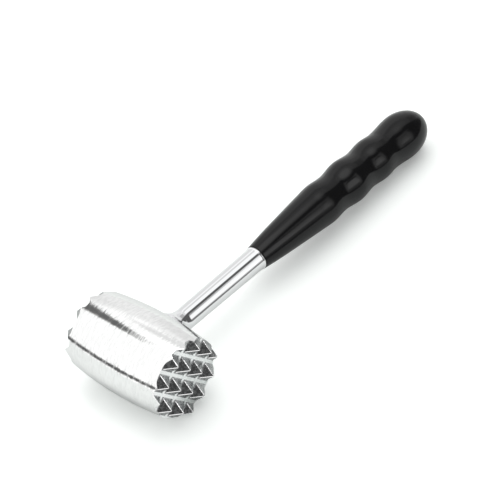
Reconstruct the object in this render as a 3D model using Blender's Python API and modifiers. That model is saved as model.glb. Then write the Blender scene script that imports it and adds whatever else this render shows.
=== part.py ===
# Meat mallet: a barrel-shaped aluminium head with teeth cut into both ends, a polished
# neck, and a black moulded grip. A threaded rod inside the neck pulls them together.
# Lengths are in metres and angles in radians.
# The mallet lies at rest on z = 0, on the belly of its head and on the end of its grip.

import math

import bmesh
import bpy
from mathutils import Matrix

# Head: a barrel turned about its own axis
belly_radius = 0.02375
belly_bulge = 0.00205         # how far the belly stands outside the rims of the two faces
face_spacing = 0.0588         # from the tooth floor of one face to that of the other
handle_offset = 0.0010        # from the middle of the head to the handle, towards the near face

# Teeth: square pyramids in straight rows, with flat floors between them
teeth_across = 4
tooth_pitch = 0.0110
tooth_height = 0.0054
tooth_floor = 0.0020          # flat width left between two teeth
tooth_foot_width = 0.0011     # gentle slope round the foot of each tooth
tooth_foot_height = 0.00045
tooth_row_angle = math.radians(47.6)      # between the rows and the handle
tooth_row_shift = 0.0004      # the rows sit a little off the head's centre
tooth_column_shift = 0.0004

# Rod: steel, screwed into the head at one end and into the grip's insert at the other
rod_radius = 0.0030
rod_grip_in_head = 0.0180     # thread engaged below the seat of the neck
rod_runout = 0.0020           # rod that stands past the insert
thread_spare = 0.0020         # hole left beyond each end of the rod
rod_end_chamfer = 0.0006

# Neck: a tapered tube with a bell-shaped foot and a narrow collar against the grip
neck_radius = 0.0061          # just above the foot
neck_top_radius = 0.0066      # just below the collar
neck_foot_radius = 0.0090
neck_foot_curve = 0.0120      # radius of the bell in section
neck_foot_rise = 0.0004       # height of the bell's edge above the belly
seat_depth = 0.0020           # flat seat cut into the belly for the foot
collar_radius = 0.0070
collar_width = 0.0012
spigot_radius = 0.0048        # stub of the neck inside the grip
spigot_length = 0.0120

# Insert: brass, moulded into the grip, with a waist that holds it there
insert_radius = 0.0052
insert_waist_radius = 0.0044
insert_length = 0.0160
insert_flange_width = 0.0040  # each full-radius end of the insert

# Grip: moulded plastic, round in section, with a tapered neck and three finger waists
mouth_distance = 0.0896       # from the head's axis to the mouth of the grip
grip_length = 0.1482
grip_radius = 0.0136          # of the widest bulge, next to the end
grip_end_length = 0.0196      # rounded end beyond that bulge
grip_lip_step = 0.0001        # the grip's mouth stands this far outside the collar
grip_lip_round = 0.0003
# Places along the grip as shares of its length, each with a share of its radius
grip_outline_shares = (
    (0.077, 0.630),
    (0.202, 0.761),
    (0.311, 0.869),
    (0.369, 0.918),
    (0.444, 0.861),
    (0.533, 0.968),
    (0.612, 0.880),
    (0.691, 0.960),
    (0.755, 0.902),
)

# Gap left between pieces that touch, and how far cuts reach past what they cut
clearance = 0.0003
overrun = 0.0020
merge_distance = 0.000001

# Faces round each turned piece, and along each curved stretch
head_steps = 96
grip_steps = 48
neck_steps = 48
rod_steps = 24
belly_divisions = 14
span_divisions = 4
end_divisions = 8
bell_divisions = 7

# Places along the handle, measured from the head's axis
seat_distance = belly_radius - seat_depth
neck_start = seat_distance + clearance
bell_edge = belly_radius + neck_foot_rise
neck_end = mouth_distance - clearance
spigot_end = mouth_distance + spigot_length
socket_floor = spigot_end + clearance
insert_start = socket_floor + clearance
insert_end = insert_start + insert_length
rod_start = seat_distance - rod_grip_in_head
rod_end = insert_end + rod_runout
rod_hole_radius = rod_radius + clearance


def clear_scene():
    for item in list(bpy.data.objects):
        bpy.data.objects.remove(item, do_unlink=True)


def make_collection(name):
    collection = bpy.data.collections.new(name)
    bpy.context.scene.collection.children.link(collection)
    return collection


def make_material(name, color, roughness, metallic):
    material = bpy.data.materials.new(name)
    material.use_nodes = True
    shader = material.node_tree.nodes["Principled BSDF"]
    shader.inputs["Base Color"].default_value = (*color, 1.0)
    shader.inputs["Roughness"].default_value = roughness
    shader.inputs["Metallic"].default_value = metallic
    material.diffuse_color = (*color, 1.0)
    return material


def add_object(name, mesh, collection, parent, turn=(0.0, 0.0, 0.0)):
    item = bpy.data.objects.new(name, mesh)
    item.rotation_euler = turn
    item.parent = parent
    collection.objects.link(item)
    return item


# A turned piece. The profile is a list of (radius, height) that runs down its outer side.
# A closed profile is a ring in section, and an open one starts and ends on the axis.
def turn_profile(name, profile, steps, closed, collection, parent, turn=(0.0, 0.0, 0.0)):
    edges = [(i, i + 1) for i in range(len(profile) - 1)]
    if closed:
        edges.append((len(profile) - 1, 0))
    mesh = bpy.data.meshes.new(name)
    mesh.from_pydata([(radius, 0.0, height) for radius, height in profile], edges, [])
    item = add_object(name, mesh, collection, parent, turn)
    screw = item.modifiers.new("turn", "SCREW")
    screw.axis = "Z"
    screw.angle = 2 * math.pi
    screw.steps = steps
    screw.render_steps = steps
    screw.use_merge_vertices = True
    screw.merge_threshold = merge_distance
    screw.use_normal_calculate = False
    return item


def mark_as_cutter(item):
    item.hide_render = True
    item.display_type = "WIRE"


def cut(item, cutter, operation):
    boolean = item.modifiers.new(cutter.name, "BOOLEAN")
    boolean.object = cutter
    boolean.operation = operation
    boolean.solver = "EXACT"


# The modifiers are worked out into a plain mesh, shaded smooth but for its sharp edges.
def settle(item, material):
    bpy.context.view_layer.update()
    graph = bpy.context.evaluated_depsgraph_get()
    mesh = bpy.data.meshes.new_from_object(item.evaluated_get(graph))
    mesh.name = item.name
    item.modifiers.clear()
    item.data = mesh
    mesh.materials.clear()
    mesh.materials.append(material)
    mesh.shade_smooth()
    mesh.set_sharp_from_angle(angle=math.radians(30))


# Radius of the barrel at a height along its axis: an arc through the belly and both rims.
def barrel_radius(height):
    half_face = face_spacing / 2
    arc = (half_face ** 2 + belly_bulge ** 2) / (2 * belly_bulge)
    return belly_radius - arc + math.sqrt(arc ** 2 - height ** 2)


def barrel_profile():
    reach = face_spacing / 2 + tooth_height
    profile = [(0.0, reach + overrun)]
    for i in range(belly_divisions + 1):
        height = reach * (1 - 2 * i / belly_divisions)
        profile.append((barrel_radius(height), height))
    profile.append((0.0, -reach - overrun))
    return profile


# Half of a block with teeth on top, open at its middle plane, and mirrored about it.
def make_tooth_block(collection, parent, turn):
    cells = teeth_across + 2
    frame = bmesh.new()
    bmesh.ops.create_grid(frame, x_segments=cells, y_segments=cells, size=cells * tooth_pitch / 2)
    bmesh.ops.translate(frame, vec=(0.0, 0.0, face_spacing / 2), verts=frame.verts)
    border = [edge for edge in frame.edges if edge.is_boundary]
    teeth = list(frame.faces)
    walls = bmesh.ops.extrude_edge_only(frame, edges=border)["geom"]
    for corner in [part for part in walls if isinstance(part, bmesh.types.BMVert)]:
        corner.co.z = 0.0
    bmesh.ops.inset_individual(frame, faces=teeth, thickness=tooth_floor / 2, use_even_offset=True)
    bmesh.ops.inset_individual(frame, faces=teeth, thickness=tooth_foot_width,
                               depth=tooth_foot_height, use_even_offset=True)
    bmesh.ops.poke(frame, faces=teeth, offset=tooth_height - tooth_foot_height)
    bmesh.ops.recalc_face_normals(frame, faces=frame.faces)
    bmesh.ops.translate(frame, vec=(-tooth_column_shift, tooth_row_shift, 0.0), verts=frame.verts)
    slant = Matrix.Rotation(-tooth_row_angle, 3, "Z")
    bmesh.ops.rotate(frame, verts=frame.verts, cent=(0.0, 0.0, 0.0), matrix=slant)
    mesh = bpy.data.meshes.new("tooth_block")
    frame.to_mesh(mesh)
    frame.free()
    item = add_object("tooth_block", mesh, collection, parent, turn)
    mirror = item.modifiers.new("other face", "MIRROR")
    mirror.use_axis = (False, False, True)
    mirror.merge_threshold = merge_distance
    mark_as_cutter(item)
    return item


# The seat for the neck's foot and the tapped hole for the rod, as one stepped cutter.
def make_seat_cutter(collection, parent, turn):
    seat_radius = neck_foot_radius + clearance
    hole_end = rod_start - thread_spare
    profile = [
        (0.0, belly_radius + overrun),
        (seat_radius, belly_radius + overrun),
        (seat_radius, seat_distance),
        (rod_hole_radius, seat_distance),
        (rod_hole_radius, hole_end),
        (0.0, hole_end - rod_hole_radius / 2),
    ]
    item = turn_profile("seat_cutter", profile, neck_steps, False, collection, parent, turn)
    mark_as_cutter(item)
    return item


# Radius and height of the neck's bell, from the tube down to the edge of the foot.
def bell_profile():
    spread = neck_foot_radius - neck_radius
    end_angle = math.acos(1 - spread / neck_foot_curve)
    height = neck_foot_curve * math.sin(end_angle)
    profile = []
    for i in range(bell_divisions + 1):
        angle = end_angle * i / bell_divisions
        radius = neck_radius + neck_foot_curve * (1 - math.cos(angle))
        profile.append((radius, bell_edge + height - neck_foot_curve * math.sin(angle)))
    return profile


def neck_profile():
    collar_start = neck_end - collar_width
    profile = [
        (spigot_radius, spigot_end),
        (spigot_radius, neck_end),
        (collar_radius, neck_end),
        (collar_radius, collar_start + collar_width / 2),
        (neck_top_radius, collar_start),
    ]
    profile += bell_profile()
    profile += [
        (neck_foot_radius, neck_start),
        (rod_hole_radius, neck_start),
        (rod_hole_radius, spigot_end),
    ]
    return profile


def rod_profile():
    tip_radius = rod_radius - rod_end_chamfer
    return [
        (0.0, rod_end),
        (tip_radius, rod_end),
        (rod_radius, rod_end - rod_end_chamfer),
        (rod_radius, rod_start + rod_end_chamfer),
        (tip_radius, rod_start),
        (0.0, rod_start),
    ]


# Outer side of the insert from its far end down to its near end, grown by a margin.
def insert_outline(margin):
    far_step = insert_end - insert_flange_width
    near_step = insert_start + insert_flange_width
    return [
        (insert_radius + margin, insert_end + margin),
        (insert_radius + margin, far_step - margin),
        (insert_waist_radius + margin, far_step - margin),
        (insert_waist_radius + margin, near_step + margin),
        (insert_radius + margin, near_step + margin),
        (insert_radius + margin, insert_start - margin),
    ]


def insert_profile():
    return insert_outline(0.0) + [(rod_hole_radius, insert_start), (rod_hole_radius, insert_end)]


# Slopes of a smooth curve through stations: level at each crest and hollow, so that the
# curve never swings past a station.
def station_slopes(stations):
    chords = []
    for (x0, y0), (x1, y1) in zip(stations, stations[1:]):
        chords.append((y1 - y0) / (x1 - x0))
    slopes = [chords[0]]
    for before, after in zip(chords, chords[1:]):
        same_way = before * after > 0
        slopes.append(2 * before * after / (before + after) if same_way else 0.0)
    slopes.append(0.0)
    return slopes


def smooth_curve(stations, divisions):
    slopes = station_slopes(stations)
    points = [stations[0]]
    for i in range(len(stations) - 1):
        (x0, y0), (x1, y1) = stations[i], stations[i + 1]
        span = x1 - x0
        for step in range(1, divisions + 1):
            t = step / divisions
            start = (1 + 2 * t) * (1 - t) ** 2 * y0 + t * (1 - t) ** 2 * span * slopes[i]
            end = t ** 2 * (3 - 2 * t) * y1 + t ** 2 * (t - 1) * span * slopes[i + 1]
            points.append((x0 + span * t, start + end))
    return points


# Outer side of the grip as (distance from the head's axis, radius), from mouth to end.
def grip_outline():
    stations = [(mouth_distance, collar_radius + grip_lip_step)]
    for place, size in grip_outline_shares:
        stations.append((mouth_distance + place * grip_length, size * grip_radius))
    bulge_distance = mouth_distance + grip_length - grip_end_length
    stations.append((bulge_distance, grip_radius))
    outline = smooth_curve(stations, span_divisions)
    for i in range(1, end_divisions + 1):
        angle = math.pi / 2 * i / end_divisions
        distance = bulge_distance + grip_end_length * math.sin(angle)
        outline.append((distance, grip_radius * math.cos(angle)))
    outline[-1] = (mouth_distance + grip_length, 0.0)
    return outline


def grip_profile():
    socket_radius = spigot_radius + clearance
    mouth_radius = collar_radius + grip_lip_step
    hole_end = rod_end + thread_spare
    profile = [(radius, distance) for distance, radius in reversed(grip_outline())]
    profile[-1] = (mouth_radius, mouth_distance + grip_lip_round)
    profile += [
        (mouth_radius - grip_lip_round, mouth_distance),
        (socket_radius, mouth_distance),
        (socket_radius, socket_floor - clearance),
    ]
    profile += reversed(insert_outline(clearance))
    profile += [
        (rod_hole_radius, insert_end + clearance),
        (rod_hole_radius, hole_end),
        (0.0, hole_end + rod_hole_radius / 2),
    ]
    return profile


# The handle dips from the head until the end of the grip touches the surface too.
def rest_tilt():
    angles = []
    for distance, radius in grip_outline():
        reach = math.hypot(distance, radius)
        angles.append(math.asin(belly_radius / reach) - math.atan2(radius, distance))
    return min(angles)


# Furthest point of the tilted grip along x, measured from the head's axis.
def grip_reach(tilt):
    return max(x * math.cos(tilt) + r * math.sin(tilt) for x, r in grip_outline())


def build():
    clear_scene()
    pieces = make_collection("meat_mallet")
    cutters = make_collection("cutters")

    brushed = make_material("brushed_aluminium", (0.82, 0.82, 0.80), 0.32, 1.0)
    polished = make_material("polished_neck", (0.86, 0.87, 0.88), 0.08, 1.0)
    plated = make_material("zinc_plated_rod", (0.62, 0.63, 0.64), 0.35, 1.0)
    brass = make_material("brass_insert", (0.78, 0.62, 0.32), 0.30, 1.0)
    black = make_material("black_grip", (0.012, 0.012, 0.013), 0.22, 0.0)

    # The x axis of mallet_axes runs along the handle, its y axis along the head, and its
    # origin is where the two cross. The origin of head_axes is the middle of the head. The
    # origin of the whole part is under the middle of its box.
    tilt = rest_tilt()
    axes = bpy.data.objects.new("mallet_axes", None)
    axes.location = ((belly_radius - grip_reach(tilt)) / 2, -handle_offset, belly_radius)
    axes.rotation_euler = (0.0, tilt, 0.0)
    pieces.objects.link(axes)
    head_axes = bpy.data.objects.new("head_axes", None)
    head_axes.location = (0.0, handle_offset, 0.0)
    head_axes.parent = axes
    pieces.objects.link(head_axes)

    head_turn = (math.pi / 2, 0.0, 0.0)
    handle_turn = (0.0, math.pi / 2, 0.0)

    head = turn_profile("head", barrel_profile(), head_steps, False, pieces, head_axes, head_turn)
    cut(head, make_tooth_block(cutters, head_axes, head_turn), "INTERSECT")
    cut(head, make_seat_cutter(cutters, axes, handle_turn), "DIFFERENCE")
    settle(head, brushed)

    neck = turn_profile("neck", neck_profile(), neck_steps, True, pieces, axes, handle_turn)
    settle(neck, polished)

    rod = turn_profile("tie_rod", rod_profile(), rod_steps, False, pieces, axes, handle_turn)
    settle(rod, plated)

    insert = turn_profile("grip_insert", insert_profile(), neck_steps, True, pieces, axes,
                          handle_turn)
    settle(insert, brass)

    grip = turn_profile("grip", grip_profile(), grip_steps, False, pieces, axes, handle_turn)
    settle(grip, black)


build()
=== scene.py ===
# Meat mallet on a white table: the looks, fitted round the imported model
import math
import bmesh
import bpy
from mathutils import Matrix, Vector


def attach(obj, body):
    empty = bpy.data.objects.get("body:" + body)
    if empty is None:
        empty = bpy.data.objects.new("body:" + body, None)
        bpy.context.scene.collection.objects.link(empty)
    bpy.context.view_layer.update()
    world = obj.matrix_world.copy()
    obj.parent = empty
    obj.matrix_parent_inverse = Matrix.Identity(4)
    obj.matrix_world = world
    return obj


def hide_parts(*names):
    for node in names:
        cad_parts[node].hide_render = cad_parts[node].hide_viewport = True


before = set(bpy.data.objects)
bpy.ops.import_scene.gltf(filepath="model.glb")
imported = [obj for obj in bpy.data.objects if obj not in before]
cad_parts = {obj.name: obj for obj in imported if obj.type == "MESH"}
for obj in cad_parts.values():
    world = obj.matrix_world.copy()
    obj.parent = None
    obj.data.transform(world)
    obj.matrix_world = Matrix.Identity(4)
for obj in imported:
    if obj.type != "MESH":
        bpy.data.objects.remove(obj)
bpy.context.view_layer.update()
print("frame loaded:", ", ".join(sorted(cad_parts)))

# The middle of the head, how far the handle sits to one side of it, and how far it dips
rest = {
    "headPlace": Vector((-0.106896, 0.0, 0.02375)),
    "handleShift": Vector((0.0, -0.0010, 0.0)),
    "handleDip": math.radians(2.67007),
}
dip = Matrix.Rotation(rest["handleDip"], 4, "Y")
headTurn = Matrix.Translation(rest["headPlace"]) @ dip @ Matrix.Rotation(math.pi / 2, 4, "X")
handleTurn = Matrix.Translation(rest["headPlace"] + rest["handleShift"]) @ dip \
    @ Matrix.Rotation(math.pi / 2, 4, "Y")


# Camera: the view of the photograph, turned a little about its own axis
cameraView = {
    "azimuth": math.radians(-43.849),
    "elevation": math.radians(42.615),
    "roll": math.radians(8.93),
    "lookAt": Vector((0.000168, 0.021337, 0.0)),
    "distance": 0.887334,
    "focalPixels": 1600.0,
    "imagePixels": 500.0,
    "sensorWidth": 36.0,
    "clipEnd": 20.0,
}


def makeCamera(view):
    turn, rise, roll = view["azimuth"], view["elevation"], view["roll"]
    backward = Vector((
        math.sin(turn) * math.cos(rise),
        -math.cos(turn) * math.cos(rise),
        math.sin(rise),
    ))
    level = Vector((0, 0, 1)).cross(backward).normalized()
    upright = backward.cross(level)
    sideways = math.cos(roll) * level - math.sin(roll) * upright
    upward = math.sin(roll) * level + math.cos(roll) * upright
    place = view["lookAt"] + backward * view["distance"]
    data = bpy.data.cameras.new("photoCamera")
    data.sensor_fit = "HORIZONTAL"
    data.sensor_width = view["sensorWidth"]
    data.lens = view["focalPixels"] * view["sensorWidth"] / view["imagePixels"]
    data.clip_end = view["clipEnd"]
    camera = bpy.data.objects.new("photoCamera", data)
    bpy.context.scene.collection.objects.link(camera)
    camera.matrix_world = Matrix((
        (sideways.x, upward.x, backward.x, place.x),
        (sideways.y, upward.y, backward.y, place.y),
        (sideways.z, upward.z, backward.z, place.z),
        (0, 0, 0, 1),
    ))
    bpy.context.scene.camera = camera


makeCamera(cameraView)
print("camera placed")


# Shader helpers
def addNode(tree, kind, **settings):
    node = tree.nodes.new(kind)
    for name, value in settings.items():
        setattr(node, name, value)
    return node


def mathNode(tree, operation, first, second=None, third=None):
    node = addNode(tree, "ShaderNodeMath", operation=operation)
    for socket, value in zip(node.inputs, (first, second, third)):
        if value is None:
            continue
        if isinstance(value, (int, float)):
            socket.default_value = value
        else:
            tree.links.new(value, socket)
    return node.outputs[0]


def rampNode(tree, value, low, high, toLow=0.0, toHigh=1.0):
    node = addNode(tree, "ShaderNodeMapRange", interpolation_type="SMOOTHSTEP")
    tree.links.new(value, node.inputs["Value"])
    limits = {"From Min": low, "From Max": high, "To Min": toLow, "To Max": toHigh}
    for name, amount in limits.items():
        node.inputs[name].default_value = amount
    return node.outputs["Result"]


def mixNumber(tree, factor, first, second):
    node = addNode(tree, "ShaderNodeMix", data_type="FLOAT")
    for socket, value in zip((node.inputs[0], *node.inputs[2:4]), (factor, first, second)):
        if isinstance(value, (int, float)):
            socket.default_value = value
        else:
            tree.links.new(value, socket)
    return node.outputs[0]


def mixColor(tree, factor, first, second):
    node = addNode(tree, "ShaderNodeMix", data_type="RGBA")
    for name, value in (("Factor", factor), ("A", first), ("B", second)):
        socket = [item for item in node.inputs if item.name == name and item.enabled][0]
        if isinstance(value, tuple):
            socket.default_value = (*value, 1.0)
        else:
            tree.links.new(value, socket)
    return [item for item in node.outputs if item.enabled][0]


# Studio: a white surround with the gaps between its screens, a broad screen up behind the
# handle for the soft shadow, and a white sheet on the table
studio = {
    "surroundStrength": 1.06,
    "surroundShown": 1.0,      # as the camera sees it
    "keyPlace": Vector((0.55, 1.05, 1.55)),
    "keyAim": Vector((0.0, 0.0, 0.0)),
    "keySize": 2.6,
    "keyPower": 13.5,
    "tableSize": 3.0,
    "tableColor": 0.85,
    "tableShown": 0.95,        # as the camera sees it
    "tableInMetal": 0.82,      # as the metal and the gloss see it
    "tableLift": 0.22,
    "tableTint": (0.975, 1.0, 0.985),
    "sheetEdges": [((-0.34, -0.94), 0.074), ((-0.728, 0.685), 0.271)],
    "sheetSoft": 0.004,
}
# What the metal sees of the surround: azimuth and elevation in degrees, from low to high,
# the softness of each, how the patch leans or tilts, and how bright it is against the rest.
# Dark patches that overlap don't add up, and bright ones lift what lies under them.
screens = [
    {"turn": (-36, -5), "rise": (-12, 57), "soft": (4, 2.5), "level": 0.10, "lean": -0.4},
    {"turn": (-54.5, -25), "rise": (-12, 42), "soft": (3, 2.5), "level": 0.10, "lean": 0.25},
    {"turn": (-88, -40), "rise": (45, 57), "soft": (3, 2.5), "level": 0.10},
    {"turn": (-88, -55), "rise": (43.8, 50), "soft": (3, 2.5), "level": 0.10, "tilt": -0.6},
    {"turn": (-92, -40), "rise": (-25, -0.5), "soft": (3, 2.5), "level": 0.20},
    {"turn": (-92, -60.5), "rise": (-2, 8.5), "soft": (2, 3), "level": 0.60},
    {"turn": (118, 172), "rise": (-7, 0), "soft": (3, 1.5), "level": 0.09, "tilt": 0.2},
    {"turn": (69.5, 87.5), "rise": (22, 60), "soft": (3, 3.5), "level": 0.12, "lean": 0.5},
    {"turn": (-165, -95), "rise": (-12, 60), "soft": (6, 6), "level": 0.12},
    {"turn": (-30, 18), "rise": (10, 38), "soft": (4, 3), "level": 0.44},
    {"turn": (-4, 60), "rise": (-8, 35), "soft": (4, 3), "level": 0.83},
    {"turn": (46, 64), "rise": (-8, 30), "soft": (2, 4), "level": 0.76},
    {"turn": (-4, 33), "rise": (-3, 30), "soft": (2, 4), "level": 0.74},
    {"turn": (22, 52), "rise": (43, 53), "soft": (4, 3), "level": 0.70},
    {"turn": (-12, 33), "rise": (36, 49), "soft": (3, 2), "level": 0.74},
    {"turn": (-90, -60.5), "rise": (11, 38), "soft": (3, 3), "level": 2.1},
    {"turn": (-100, 60), "rise": (61.5, 91), "soft": (6, 3), "level": 2.1},
]


# Slants one angle of a patch with the distance of the other from the patch's middle
def slantNode(tree, angle, other, limits, slope):
    offset = mathNode(tree, "MULTIPLY_ADD", other, -slope, slope * sum(limits) / 2)
    return mathNode(tree, "ADD", angle, offset)


def screenMask(tree, turn, rise, screen):
    leaned, tilted = turn, rise
    if "lean" in screen:
        leaned = slantNode(tree, turn, rise, screen["rise"], screen["lean"])
    if "tilt" in screen:
        tilted = slantNode(tree, rise, turn, screen["turn"], screen["tilt"])
    spans = (screen["turn"], screen["rise"])
    mask = None
    for value, span, soft in zip((leaned, tilted), spans, screen["soft"]):
        for edge, (start, end) in zip(span, ((0.0, 1.0), (1.0, 0.0))):
            side = rampNode(tree, value, edge - soft, edge + soft, start, end)
            mask = side if mask is None else mathNode(tree, "MULTIPLY", mask, side)
    return mask


def makeWorld(settings, patches):
    world = bpy.data.worlds.new("studio")
    world.use_nodes = True
    bpy.context.scene.world = world
    tree = world.node_tree
    tree.nodes.clear()
    place = addNode(tree, "ShaderNodeTexCoord").outputs["Generated"]
    split = addNode(tree, "ShaderNodeSeparateXYZ")
    tree.links.new(place, split.inputs[0])
    turn = mathNode(tree, "ARCTAN2", split.outputs[1], split.outputs[0])
    turn = mathNode(tree, "MULTIPLY", turn, 180 / math.pi)
    rise = mathNode(tree, "ARCSINE", split.outputs[2])
    rise = mathNode(tree, "MULTIPLY", rise, 180 / math.pi)
    level = None
    for screen in patches:
        mask = screenMask(tree, turn, rise, screen)
        shade = mathNode(tree, "MULTIPLY_ADD", mask, screen["level"] - 1.0, 1.0)
        joining = "MINIMUM" if screen["level"] < 1 else "MULTIPLY"
        level = shade if level is None else mathNode(tree, joining, level, shade)
    level = mathNode(tree, "MULTIPLY", level, settings["surroundStrength"])
    path = addNode(tree, "ShaderNodeLightPath")
    strength = mixNumber(tree, path.outputs["Is Camera Ray"], level, settings["surroundShown"])
    background = addNode(tree, "ShaderNodeBackground")
    background.inputs["Color"].default_value = (1.0, 1.0, 1.0, 1.0)
    tree.links.new(strength, background.inputs["Strength"])
    output = addNode(tree, "ShaderNodeOutputWorld")
    tree.links.new(background.outputs[0], output.inputs[0])


def makeTable(settings):
    shape = bmesh.new()
    bmesh.ops.create_grid(shape, x_segments=1, y_segments=1, size=settings["tableSize"])
    data = bpy.data.meshes.new("table")
    shape.to_mesh(data)
    shape.free()
    table = bpy.data.objects.new("table", data)
    bpy.context.scene.collection.objects.link(table)
    material = bpy.data.materials.new("tableWhite")
    material.use_nodes = True
    tree = material.node_tree
    tree.nodes.clear()
    diffuse = addNode(tree, "ShaderNodeBsdfDiffuse")
    path = addNode(tree, "ShaderNodeLightPath")
    tone = tuple(settings["tableColor"] * part for part in settings["tableTint"])
    for ray, level in (("Is Glossy Ray", "tableInMetal"), ("Is Camera Ray", "tableShown")):
        seen = tuple(settings[level] * part for part in settings["tableTint"])
        tone = mixColor(tree, path.outputs[ray], tone, seen)
    tree.links.new(tone, diffuse.inputs["Color"])
    # The metal sees the sheet end, and the surround beyond it
    coords = addNode(tree, "ShaderNodeTexCoord")
    soft = settings["sheetSoft"]
    beyond = None
    for (alongX, alongY), distance in settings["sheetEdges"]:
        reach = addNode(tree, "ShaderNodeVectorMath", operation="DOT_PRODUCT")
        tree.links.new(coords.outputs["Object"], reach.inputs[0])
        reach.inputs[1].default_value = (alongX, alongY, 0.0)
        past = rampNode(tree, reach.outputs["Value"], distance - soft, distance + soft)
        beyond = past if beyond is None else mathNode(tree, "MAXIMUM", beyond, past)
    beyond = mathNode(tree, "MULTIPLY", beyond, path.outputs["Is Glossy Ray"])
    lift = addNode(tree, "ShaderNodeEmission")
    lift.inputs["Color"].default_value = (*settings["tableTint"], 1.0)
    glow = mathNode(tree, "MULTIPLY", path.outputs["Is Camera Ray"], settings["tableLift"])
    tree.links.new(glow, lift.inputs["Strength"])
    shown = addNode(tree, "ShaderNodeAddShader")
    tree.links.new(diffuse.outputs[0], shown.inputs[0])
    tree.links.new(lift.outputs[0], shown.inputs[1])
    clear = addNode(tree, "ShaderNodeBsdfTransparent")
    mixed = addNode(tree, "ShaderNodeMixShader")
    tree.links.new(beyond, mixed.inputs[0])
    tree.links.new(shown.outputs[0], mixed.inputs[1])
    tree.links.new(clear.outputs[0], mixed.inputs[2])
    output = addNode(tree, "ShaderNodeOutputMaterial")
    tree.links.new(mixed.outputs[0], output.inputs[0])
    material.cycles.emission_sampling = "NONE"
    data.materials.append(material)


def makeKeyLight(settings):
    light = bpy.data.lights.new("keyScreen", "AREA")
    light.shape = "DISK"
    light.size = settings["keySize"]
    light.energy = settings["keyPower"]
    lamp = bpy.data.objects.new("keyScreen", light)
    bpy.context.scene.collection.objects.link(lamp)
    aim = settings["keyAim"] - settings["keyPlace"]
    facing = aim.to_track_quat("-Z", "Y").to_matrix().to_4x4()
    lamp.matrix_world = Matrix.Translation(settings["keyPlace"]) @ facing
    lamp.visible_glossy = False
    lamp.visible_camera = False


makeWorld(studio, screens)
makeTable(studio)
makeKeyLight(studio)
bpy.context.scene.view_settings.view_transform = "Standard"
print("studio lit")


# Shared effect: fine marks drawn out along a direction, as height, and a soft mask of wear
fineMarks = {
    "fine": {"Scale": 1.0, "Detail": 1.5, "Roughness": 0.6},
    "coarse": {"Scale": 0.38, "Detail": 2.0},
    "patch": {"Detail": 2.0},
    "patchEdges": (0.35, 0.65),
}


def makeMarksGroup(settings):
    group = bpy.data.node_groups.new("fineMarks", "ShaderNodeTree")
    entries = {"Vector": "Vector", "Stretch": "Vector", "Coarse": "Float", "Patch Scale": "Float"}
    for name, kind in entries.items():
        group.interface.new_socket(name=name, in_out="INPUT", socket_type="NodeSocket" + kind)
    for name in ("Height", "Patches"):
        group.interface.new_socket(name=name, in_out="OUTPUT", socket_type="NodeSocketFloat")
    enter = addNode(group, "NodeGroupInput")
    leave = addNode(group, "NodeGroupOutput")
    drawn = addNode(group, "ShaderNodeVectorMath", operation="MULTIPLY")
    group.links.new(enter.outputs["Vector"], drawn.inputs[0])
    group.links.new(enter.outputs["Stretch"], drawn.inputs[1])
    noises = {}
    for name, place in (("fine", drawn.outputs[0]), ("coarse", drawn.outputs[0]),
                        ("patch", enter.outputs["Vector"])):
        noises[name] = addNode(group, "ShaderNodeTexNoise")
        for socket, value in settings[name].items():
            noises[name].inputs[socket].default_value = value
        group.links.new(place, noises[name].inputs["Vector"])
    height = mathNode(group, "MULTIPLY_ADD", noises["coarse"].outputs[0],
                      enter.outputs["Coarse"], noises["fine"].outputs[0])
    group.links.new(height, leave.inputs["Height"])
    group.links.new(enter.outputs["Patch Scale"], noises["patch"].inputs["Scale"])
    patches = rampNode(group, noises["patch"].outputs[0], *settings["patchEdges"])
    group.links.new(patches, leave.inputs["Patches"])
    return group


marksGroup = makeMarksGroup(fineMarks)


def startMaterial(name):
    material = bpy.data.materials.new(name)
    material.use_nodes = True
    tree = material.node_tree
    place = addNode(tree, "ShaderNodeTexCoord").outputs["Object"]
    return material, tree, tree.nodes["Principled BSDF"], place


def placeMarks(tree, place, settings):
    marks = addNode(tree, "ShaderNodeGroup", node_tree=marksGroup)
    tree.links.new(place, marks.inputs["Vector"])
    for socket, value in zip(("Stretch", "Coarse", "Patch Scale"), settings):
        marks.inputs[socket].default_value = value
    return marks.outputs["Height"], marks.outputs["Patches"]


def addBump(tree, shader, height, distance):
    bump = addNode(tree, "ShaderNodeBump")
    bump.inputs["Distance"].default_value = distance
    tree.links.new(height, bump.inputs["Height"])
    tree.links.new(bump.outputs["Normal"], shader.inputs["Normal"])


# A plain material: settings of the shader itself, two tones if it is blotched, fine marks as
# (stretch, coarse share, scale of the patches), low and high roughness, and depth of the marks
def makeMaterial(name, finish):
    material, tree, shader, place = startMaterial(name)
    height, patches = placeMarks(tree, place, finish["marks"])
    for socket, value in finish["shader"].items():
        shader.inputs[socket].default_value = value
    if "tones" in finish:
        tree.links.new(mixColor(tree, patches, *finish["tones"]), shader.inputs["Base Color"])
    tree.links.new(rampNode(tree, patches, 0, 1, *finish["rough"]), shader.inputs["Roughness"])
    addBump(tree, shader, height, finish["relief"])
    return material


# Mesh helpers
meshing = {
    "merge": 0.0000005,        # vertices nearer than this become one
    "cornerSteps": 5,
}


def dressPiece(data, name, material, node, smoothAngle):
    data.materials.clear()
    data.materials.append(material)
    data.shade_smooth()
    data.set_sharp_from_angle(angle=smoothAngle)
    piece = bpy.data.objects.new(name, data)
    bpy.context.scene.collection.objects.link(piece)
    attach(piece, "root")
    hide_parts(node)
    print("made", name, len(data.polygons), "faces")


def finishPiece(shape, name, material, node, smoothAngle):
    bmesh.ops.remove_doubles(shape, verts=shape.verts, dist=meshing["merge"])
    bmesh.ops.recalc_face_normals(shape, faces=shape.faces)
    data = bpy.data.meshes.new(name)
    shape.to_mesh(data)
    shape.free()
    dressPiece(data, name, material, node, smoothAngle)


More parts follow.
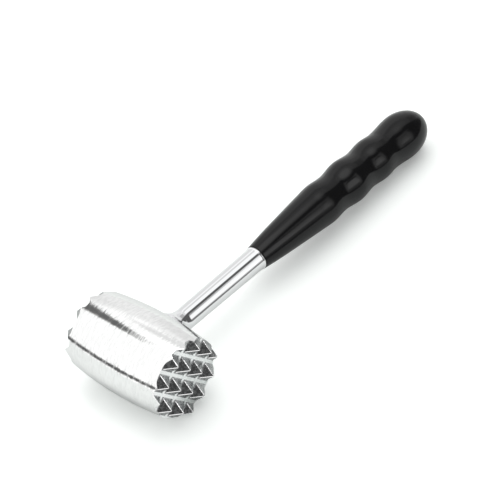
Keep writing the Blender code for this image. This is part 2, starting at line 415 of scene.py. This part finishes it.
# A profile of (radius, distance) points, spun about local Z and put in its place
def spinProfile(profile, steps, closed, place):
    shape = bmesh.new()
    verts = [shape.verts.new((radius, 0.0, along)) for radius, along in profile]
    edges = [shape.edges.new(pair) for pair in zip(verts, verts[1:])]
    if closed:
        edges.append(shape.edges.new((verts[-1], verts[0])))
    bmesh.ops.spin(shape, geom=verts + edges, cent=(0, 0, 0), axis=(0, 0, 1),
                   angle=2 * math.pi, steps=steps, use_merge=True, use_duplicate=False)
    bmesh.ops.remove_doubles(shape, verts=shape.verts, dist=meshing["merge"])
    bmesh.ops.transform(shape, matrix=place, verts=shape.verts)
    return shape


# Rounds a profile: each corner that has a third number, its radius, becomes a short arc
def roundCorners(points):
    steps = meshing["cornerSteps"]
    rounded = []
    for i, (radius, along, *corner) in enumerate(points):
        if not corner:
            rounded.append((radius, along))
            continue
        here = Vector((radius, along))
        before = Vector(points[i - 1][:2]) - here
        after = Vector(points[(i + 1) % len(points)][:2]) - here
        half = before.angle(after) / 2
        cut = corner[0] / math.tan(half)
        start = here + before.normalized() * cut
        end = here + after.normalized() * cut
        inward = (before.normalized() + after.normalized()).normalized()
        middle = here + inward * corner[0] / math.sin(half)
        first = start - middle
        last = end - middle
        sweep = first.angle_signed(last)
        for step in range(steps + 1):
            spot = middle + Matrix.Rotation(-sweep * step / steps, 2) @ first
            rounded.append((spot.x, spot.y))
    return rounded


# Head: ground aluminium barrel with four by four pyramid teeth in each end
head = {
    "bellyRadius": 0.02375,
    "bellyBulge": 0.00205,
    "faceSpacing": 0.0588,
    "teethAcross": 4,
    "toothPitch": 0.0110,
    "toothHeight": 0.0057,     # before the ridges are rubbed down
    "toothFloor": 0.0017,
    "rowAngle": math.radians(47.6),
    "rowShift": 0.0004,
    "columnShift": 0.0004,
    # Width and height of each step of the rounded foot of a tooth
    "footSteps": [(0.00024, 0.00006), (0.00020, 0.00011), (0.00016, 0.00015), (0.00012, 0.00015)],
    "ridgeWidth": 0.00030,
    "mirrorMerge": 0.000001,
    "edgeRound": 0.00010,
    "edgeSteps": 2,
    "edgeAngle": math.radians(42),
    "skinDepth": 0.00004,      # a face nearer than this to a surface belongs to it
    "floorSteep": 0.998,       # how far a normal points along the barrel, for a floor
    "ridgeSteep": (0.3, 0.97),
    "ridgeOffRow": (12, 78),   # degrees from the rows
    "seatRadius": 0.0093,
    "seatDistance": 0.02175,
    "holeRadius": 0.0033,
    "holeEnd": 0.00175,
    "overrun": 0.002,          # of the cutting shapes, past what they cut
    "aroundSteps": 288,
    "alongSteps": 72,
    "seatSteps": 96,
    "smoothAngle": math.radians(30),
}


def barrelRadius(height):
    half = head["faceSpacing"] / 2
    bulge = head["bellyBulge"]
    arc = (half ** 2 + bulge ** 2) / (2 * bulge)
    return head["bellyRadius"] - arc + math.sqrt(arc ** 2 - height ** 2)


# An object for the booleans only
def linkHelper(shape, name):
    data = bpy.data.meshes.new(name)
    bmesh.ops.recalc_face_normals(shape, faces=shape.faces)
    shape.to_mesh(data)
    shape.free()
    helper = bpy.data.objects.new(name, data)
    bpy.context.scene.collection.objects.link(helper)
    return helper


def makeBarrel():
    reach = head["faceSpacing"] / 2 + head["toothHeight"]
    profile = [(0.0, reach + head["overrun"])]
    for i in range(head["alongSteps"] + 1):
        height = reach * (1 - 2 * i / head["alongSteps"])
        profile.append((barrelRadius(height), height))
    profile.append((0.0, -reach - head["overrun"]))
    return linkHelper(spinProfile(profile, head["aroundSteps"], False, headTurn), "barrel")


# A block with teeth on both ends. It is wider than the barrel, so that the rim cuts the
# outer teeth short where the two are intersected.
def makeTeeth():
    cells = head["teethAcross"] + 2
    shape = bmesh.new()
    bmesh.ops.create_grid(shape, x_segments=cells, y_segments=cells,
                          size=cells * head["toothPitch"] / 2)
    bmesh.ops.translate(shape, vec=(0, 0, head["faceSpacing"] / 2), verts=shape.verts)
    border = [edge for edge in shape.edges if edge.is_boundary]
    teeth = list(shape.faces)
    walls = bmesh.ops.extrude_edge_only(shape, edges=border)["geom"]
    lower = [item for item in walls if isinstance(item, bmesh.types.BMVert)]
    bmesh.ops.scale(shape, vec=(1, 1, 0), verts=lower)
    bmesh.ops.inset_individual(shape, faces=teeth, thickness=head["toothFloor"] / 2,
                               use_even_offset=True)
    risen = 0.0
    for width, rise in head["footSteps"]:
        bmesh.ops.inset_individual(shape, faces=teeth, thickness=width, depth=rise,
                                   use_even_offset=True)
        risen += rise
    crowns = bmesh.ops.poke(shape, faces=teeth, offset=head["toothHeight"] - risen)["verts"]
    ridges = [edge for crown in crowns for edge in crown.link_edges]
    bmesh.ops.bevel(shape, geom=ridges, offset=head["ridgeWidth"], offset_type="OFFSET",
                    segments=1, profile=0.5, affect="EDGES", material=-1, clamp_overlap=True)
    bmesh.ops.translate(shape, vec=(-head["columnShift"], head["rowShift"], 0), verts=shape.verts)
    bmesh.ops.rotate(shape, verts=shape.verts, cent=(0, 0, 0),
                     matrix=Matrix.Rotation(-head["rowAngle"], 3, "Z"))
    bmesh.ops.mirror(shape, geom=shape.verts[:] + shape.edges[:] + shape.faces[:], axis="Z",
                     merge_dist=head["mirrorMerge"])
    bmesh.ops.transform(shape, matrix=headTurn, verts=shape.verts)
    return linkHelper(shape, "teeth")


# The flat seat of the neck in the belly, and the tapped hole for the rod
def makeSeat():
    beyond = head["bellyRadius"] + head["overrun"]
    profile = [
        (0.0, beyond),
        (head["seatRadius"], beyond),
        (head["seatRadius"], head["seatDistance"]),
        (head["holeRadius"], head["seatDistance"]),
        (head["holeRadius"], head["holeEnd"]),
        (0.0, head["holeEnd"] - head["holeRadius"] / 2),
    ]
    return linkHelper(spinProfile(profile, head["seatSteps"], False, handleTurn), "seat")


# Masks by face: the ground skin of the barrel, the floors of the two ends, whose bright tone is
# painted light for the white table they reflect, and the ridges of the teeth, rubbed bright,
# whose bright tone is also a painted highlight. The rest of the teeth is as cast.
def markFinishes(data):
    names = ("groundSkin", "floorPaintedBright", "rubbedRidgePaintedHighlight")
    masks = [data.attributes.new(name, "FLOAT", "FACE") for name in names]
    inverse = headTurn.inverted()
    lowSteep, highSteep = head["ridgeSteep"]
    lowTurn, highTurn = head["ridgeOffRow"]
    for i, face in enumerate(data.polygons):
        centre = inverse @ face.center
        normal = inverse.to_3x3() @ face.normal
        steep = abs(normal.z)
        offSkin = abs(math.hypot(centre.x, centre.y) - barrelRadius(centre.z))
        onSkin = offSkin < head["skinDepth"]
        offFloor = abs(abs(centre.z) - head["faceSpacing"] / 2)
        onFloor = steep > head["floorSteep"] and offFloor < head["skinDepth"]
        offRow = math.degrees(math.atan2(normal.y, normal.x) + head["rowAngle"]) % 90
        onRidge = lowSteep < steep < highSteep and lowTurn < offRow < highTurn
        masks[0].data[i].value = float(onSkin)
        masks[1].data[i].value = float(onFloor and not onSkin)
        masks[2].data[i].value = float(onRidge and not onSkin)


def makeHead(material):
    barrel, teeth, seat = makeBarrel(), makeTeeth(), makeSeat()
    for tool, operation in ((teeth, "INTERSECT"), (seat, "DIFFERENCE")):
        cut = barrel.modifiers.new(tool.name, "BOOLEAN")
        cut.object = tool
        cut.operation = operation
        cut.solver = "EXACT"
    soften = barrel.modifiers.new("edges", "BEVEL")
    soften.width = head["edgeRound"]
    soften.segments = head["edgeSteps"]
    soften.limit_method = "ANGLE"
    soften.angle_limit = head["edgeAngle"]
    bpy.context.view_layer.update()
    shaped = barrel.evaluated_get(bpy.context.evaluated_depsgraph_get())
    data = bpy.data.meshes.new_from_object(shaped)
    data.name = "headBody"
    for helper in (barrel, teeth, seat):
        bpy.data.objects.remove(helper)
    markFinishes(data)
    dressPiece(data, "headBody", material, "head", head["smoothAngle"])


# Tones and roughness from low to high, and marks as in makeMaterial
aluminium = {
    "skin": {"tones": ((0.98, 0.985, 0.98), (0.925, 0.93, 0.925)), "rough": (0.05, 0.08)},
    "cast": {"tones": ((0.325, 0.33, 0.335), (0.51, 0.525, 0.525)), "rough": (0.20, 0.32)},
    # The floor tones are painted light: brighter than the cast teeth, for the white table they
    # reflect
    "floor": {"tones": ((0.82, 0.86, 0.85), (0.97, 0.995, 0.985)), "rough": (0.30, 0.42)},
    # The ridge tones are rubbed bright metal, and also a painted highlight for the white ridge
    # lines
    "ridge": {"tones": ((0.97, 0.97, 0.97), (0.98, 0.98, 0.98)), "rough": (0.12, 0.18)},
    "grind": ((280.0, 1000.0, 280.0), 0.3, 70.0),
    "grindDepth": 1.5,         # against the grain of the cast faces
    "grindShades": (0.52, 0.78),
    "tornHeights": (0.60, 0.85),
    "tornRough": 0.14,         # more where a mark is torn
    "grain": ((1600.0, 1600.0, 1600.0), 1.0, 800.0),
    "relief": 0.00005,
    "edgeTint": (0.86, 0.86, 0.86, 1.0),
}


def makeAluminium():
    material, tree, shader, place = startMaterial("groundAluminium")
    height, patches = placeMarks(tree, place, aluminium["grind"])
    relief, blotches = placeMarks(tree, place, aluminium["grain"])
    color = mixColor(tree, blotches, *aluminium["cast"]["tones"])
    rough = rampNode(tree, blotches, 0, 1, *aluminium["cast"]["rough"])
    # The floors get a painted-light tone, and the ridges a rubbed tone that is also a painted
    # highlight
    for mask, finish, wear in (("floorPaintedBright", "floor", blotches),
                               ("rubbedRidgePaintedHighlight", "ridge", blotches),
                               ("groundSkin", "skin", patches)):
        where = addNode(tree, "ShaderNodeAttribute", attribute_name=mask).outputs["Fac"]
        worn = rampNode(tree, wear, 0, 1, *aluminium[finish]["rough"])
        shade = wear
        if mask == "groundSkin":
            shade = rampNode(tree, height, *aluminium["grindShades"])
            grind = mathNode(tree, "MULTIPLY", height, aluminium["grindDepth"])
            relief = mixNumber(tree, where, relief, grind)
            torn = rampNode(tree, height, *aluminium["tornHeights"], 0.0, aluminium["tornRough"])
            worn = mathNode(tree, "ADD", worn, torn)
        color = mixColor(tree, where, color, mixColor(tree, shade, *aluminium[finish]["tones"]))
        rough = mixNumber(tree, where, rough, worn)
    shader.inputs["Metallic"].default_value = 1.0
    shader.inputs["Specular Tint"].default_value = aluminium["edgeTint"]
    tree.links.new(color, shader.inputs["Base Color"])
    tree.links.new(rough, shader.inputs["Roughness"])
    addBump(tree, shader, relief, aluminium["relief"])
    return material


makeHead(makeAluminium())


# Neck: polished tube with a bell at the head and a collar at the grip
neck = {
    "footRadius": 0.0090,
    "footCurve": 0.0120,
    "radius": 0.0061,
    "topRadius": 0.0066,
    "seatEnd": 0.02205,
    "bellEdge": 0.02415,
    "collarRadius": 0.0070,
    "collarWidth": 0.0012,
    "collarFlat": 0.6,         # share of the collar's width
    "end": 0.0893,
    "spigotRadius": 0.0048,
    "spigotEnd": 0.1016,
    "boreRadius": 0.0033,
    "spigotRound": 0.0003,
    "edgeRound": 0.0002,
    "footRound": 0.0001,
    "bellSteps": 20,
    "steps": 128,
    "smoothAngle": math.radians(40),
}
polish = {
    "shader": {"Metallic": 1.0, "Base Color": (0.90, 0.905, 0.915, 1.0)},
    "marks": ((40.0, 260.0, 260.0), 0.6, 45.0),
    "rough": (0.03, 0.06),
    "relief": 0.000003,
}


def makeNeck(material):
    n = neck
    edge = n["edgeRound"]
    profile = [
        (n["spigotRadius"], n["spigotEnd"], n["spigotRound"]),
        (n["spigotRadius"], n["end"]),
        (n["collarRadius"], n["end"], edge),
        (n["collarRadius"], n["end"] - n["collarWidth"] * n["collarFlat"], edge),
        (n["topRadius"], n["end"] - n["collarWidth"], edge),
    ]
    sweep = math.acos(1 - (n["footRadius"] - n["radius"]) / n["footCurve"])
    rise = n["footCurve"] * math.sin(sweep)
    for i in range(n["bellSteps"] + 1):
        angle = sweep * i / n["bellSteps"]
        profile.append((n["radius"] + n["footCurve"] * (1 - math.cos(angle)),
                        n["bellEdge"] + rise - n["footCurve"] * math.sin(angle)))
    profile += [
        (n["footRadius"], n["seatEnd"], n["footRound"]),
        (n["boreRadius"], n["seatEnd"], edge),
        (n["boreRadius"], n["spigotEnd"], edge),
    ]
    shape = spinProfile(roundCorners(profile), n["steps"], True, handleTurn)
    finishPiece(shape, "neckTube", material, "neck", n["smoothAngle"])


makeNeck(makeMaterial("mirrorPolish", polish))


# Grip: one black moulding with three finger waists
grip = {
    "mouth": 0.0896,
    "length": 0.1482,
    "radius": 0.01357,
    "endLength": 0.0196,
    "lipRadius": 0.0071,
    "lipRound": 0.0003,
    "socketRadius": 0.0051,
    "socketEnd": 0.1016,
    # Shares of the length and of the radius
    "stations": [(0.077, 0.630), (0.202, 0.761), (0.311, 0.869), (0.369, 0.918), (0.444, 0.861),
                 (0.533, 0.968), (0.612, 0.880), (0.691, 0.960), (0.755, 0.902)],
    "insertStart": 0.1022,
    "insertEnd": 0.1182,
    "insertRadius": 0.0052,
    "insertWaist": 0.0044,
    "insertFlange": 0.0040,
    "slack": 0.0003,
    "rodHoleRadius": 0.0033,
    "rodHoleEnd": 0.1222,
    "spanSteps": 14,
    "endSteps": 32,
    "steps": 160,
    "smoothAngle": math.radians(40),
}
blackPlastic = {
    "shader": {"Base Color": (0.005, 0.005, 0.0054, 1.0), "IOR": 1.45, "Specular IOR Level": 0.29},
    "marks": ((900.0, 900.0, 900.0), 0.8, 55.0),
    "rough": (0.12, 0.18),
    "relief": 0.000004,
}


# A smooth line through the stations that doesn't swing past them
def smoothCurve(stations, divisions):
    chords = [(b[1] - a[1]) / (b[0] - a[0]) for a, b in zip(stations, stations[1:])]
    slopes = [chords[0]]
    for before, after in zip(chords, chords[1:]):
        slopes.append(2 * before * after / (before + after) if before * after > 0 else 0.0)
    slopes.append(0.0)
    points = [stations[0]]
    for i in range(len(stations) - 1):
        (x0, y0), (x1, y1) = stations[i], stations[i + 1]
        span = x1 - x0
        for step in range(1, divisions + 1):
            t = step / divisions
            start = (1 + 2 * t) * (1 - t) ** 2 * y0 + t * (1 - t) ** 2 * span * slopes[i]
            end = t ** 2 * (3 - 2 * t) * y1 + t ** 2 * (t - 1) * span * slopes[i + 1]
            points.append((x0 + span * t, start + end))
    return points


def gripOutline():
    g = grip
    stations = [(g["mouth"], g["lipRadius"])]
    for along, size in g["stations"]:
        stations.append((g["mouth"] + along * g["length"], size * g["radius"]))
    bulge = g["mouth"] + g["length"] - g["endLength"]
    stations.append((bulge, g["radius"]))
    outline = smoothCurve(stations, g["spanSteps"])
    for i in range(1, g["endSteps"] + 1):
        angle = math.pi / 2 * i / g["endSteps"]
        outline.append((bulge + g["endLength"] * math.sin(angle), g["radius"] * math.cos(angle)))
    outline[-1] = (g["mouth"] + g["length"], 0.0)
    return outline


def makeGrip(material):
    g = grip
    gap = g["slack"]
    wide, waist = g["insertRadius"] + gap, g["insertWaist"] + gap
    firstFlange = g["insertStart"] + g["insertFlange"] + gap
    lastFlange = g["insertEnd"] - g["insertFlange"] - gap
    lipEnd = g["mouth"] + g["lipRound"]
    profile = [(radius, along) for along, radius in reversed(gripOutline()) if along > lipEnd]
    profile += [
        (g["lipRadius"], g["mouth"], g["lipRound"]),
        (g["socketRadius"], g["mouth"], g["lipRound"]),
        (g["socketRadius"], g["socketEnd"]),
        (wide, g["insertStart"] - gap),
        (wide, firstFlange),
        (waist, firstFlange),
        (waist, lastFlange),
        (wide, lastFlange),
        (wide, g["insertEnd"] + gap),
        (g["rodHoleRadius"], g["insertEnd"] + gap),
        (g["rodHoleRadius"], g["rodHoleEnd"]),
        (0.0, g["rodHoleEnd"] + g["rodHoleRadius"] / 2),
    ]
    shape = spinProfile(roundCorners(profile), g["steps"], False, handleTurn)
    finishPiece(shape, "gripMoulding", material, "grip", g["smoothAngle"])


makeGrip(makeMaterial("glossBlackPlastic", blackPlastic))


# Rod: a plated threaded rod, hidden in the neck
rod = {
    "start": 0.00375,
    "end": 0.1202,
    "radius": 0.0030,
    "rootRadius": 0.0025,
    "tipRadius": 0.0024,
    "chamfer": 0.0006,
    "pitch": 0.0010,
    "flats": (0.0, 0.18, 0.52, 0.66),   # shares of the pitch: root, root, crest, crest
    "extraTurns": 2,           # wound past the two ends, and cut off again
    "turnsBefore": 1.5,        # of them, before the start
    "turnMerge": 0.000002,     # joins each turn of the thread to the next
    "cutDistance": 0.0000001,
    "steps": 24,
    "smoothAngle": math.radians(35),
}
zinc = {
    "shader": {"Metallic": 1.0},
    "tones": ((0.60, 0.61, 0.63), (0.68, 0.69, 0.70)),
    "marks": ((300.0, 300.0, 300.0), 0.5, 200.0),
    "rough": (0.28, 0.42),
    "relief": 0.00001,
}


def makeRod(material):
    r = rod
    shape = bmesh.new()
    verts = []
    radii = (r["rootRadius"], r["rootRadius"], r["radius"], r["radius"])
    turns = math.ceil((r["end"] - r["start"]) / r["pitch"]) + r["extraTurns"]
    for turn in range(turns):
        for share, radius in zip(r["flats"], radii):
            along = r["start"] + (turn - r["turnsBefore"] + share) * r["pitch"]
            verts.append(shape.verts.new((radius, 0.0, along)))
    edges = [shape.edges.new(pair) for pair in zip(verts, verts[1:])]
    bmesh.ops.spin(shape, geom=verts + edges, cent=(0, 0, 0), axis=(0, 0, 1),
                   dvec=(0, 0, r["pitch"] / r["steps"]), angle=2 * math.pi, steps=r["steps"],
                   use_merge=False, use_duplicate=False)
    bmesh.ops.remove_doubles(shape, verts=shape.verts, dist=r["turnMerge"])
    for cut, facing in ((r["start"], -1), (r["end"], 1)):
        bmesh.ops.bisect_plane(shape, geom=shape.verts[:] + shape.edges[:] + shape.faces[:],
                               dist=r["cutDistance"], plane_co=(0, 0, cut),
                               plane_no=(0, 0, facing), clear_outer=True)
    for vert in shape.verts:
        inward = min(vert.co.z - r["start"], r["end"] - vert.co.z)
        limit = r["tipRadius"] + max(inward, 0.0)
        across = math.hypot(vert.co.x, vert.co.y)
        if inward < r["chamfer"] and across > limit:
            vert.co.x *= limit / across
            vert.co.y *= limit / across
    bmesh.ops.edgeloop_fill(shape, edges=[edge for edge in shape.edges if edge.is_boundary])
    bmesh.ops.transform(shape, matrix=handleTurn, verts=shape.verts)
    finishPiece(shape, "threadedRod", material, "tie_rod", r["smoothAngle"])


makeRod(makeMaterial("zincPlate", zinc))


# Insert: brass, with two knurled ends that hold it in the moulding
insert = {
    "start": 0.1022,
    "end": 0.1182,
    "radius": 0.0052,
    "waistRadius": 0.0044,
    "flange": 0.0040,
    "boreRadius": 0.0033,
    "corner": 0.0002,
    "knurlMargin": 0.0004,     # left plain at each edge of an end
    "knurlRows": 12,
    "knurlTeeth": 30,
    "knurlDepth": 0.00025,
    "knurlTurns": 1500.0,      # teeth that the knurl passes in a metre
    "skinDepth": 0.00001,      # a vertex deeper than this isn't knurled
    "marginSlack": 1.01,
    "steps": 240,
    "smoothAngle": math.radians(25),
}
brass = {
    "shader": {"Metallic": 1.0},
    "tones": ((0.74, 0.56, 0.26), (0.82, 0.66, 0.36)),
    "marks": ((2200.0, 120.0, 120.0), 0.5, 150.0),
    "rough": (0.22, 0.34),
    "relief": 0.00001,
}


def makeInsert(material):
    s = insert
    corner, margin = s["corner"], s["knurlMargin"]
    ends = ((s["start"], s["start"] + s["flange"]), (s["end"] - s["flange"], s["end"]))
    profile = []
    for low, high in ends:
        profile.append((s["radius"], low, corner))
        for row in range(s["knurlRows"] + 1):
            share = row / s["knurlRows"]
            profile.append((s["radius"], low + margin + share * (high - low - 2 * margin)))
        profile.append((s["radius"], high, corner))
        if low == s["start"]:
            profile += [(s["waistRadius"], high), (s["waistRadius"], s["end"] - s["flange"])]
    profile += [(s["boreRadius"], s["end"], corner), (s["boreRadius"], s["start"], corner)]
    shape = spinProfile(roundCorners(profile), s["steps"], True, Matrix.Identity(4))
    for vert in shape.verts:
        across = math.hypot(vert.co.x, vert.co.y)
        fromEdge = min(abs(vert.co.z - edge) for span in ends for edge in span)
        if across < s["radius"] - s["skinDepth"] or fromEdge < margin * s["marginSlack"]:
            continue
        around = math.atan2(vert.co.y, vert.co.x) / (2 * math.pi) * s["knurlTeeth"]
        climb = vert.co.z * s["knurlTurns"]
        grooves = [abs(((around + side * climb) % 1) * 2 - 1) for side in (-1, 1)]
        size = 1 - s["knurlDepth"] * max(0.0, 1 - 2 * min(grooves)) / across
        vert.co.x *= size
        vert.co.y *= size
    bmesh.ops.transform(shape, matrix=handleTurn, verts=shape.verts)
    finishPiece(shape, "knurledInsert", material, "grip_insert", s["smoothAngle"])


makeInsert(makeMaterial("machinedBrass", brass))
print("hidden pieces finished")
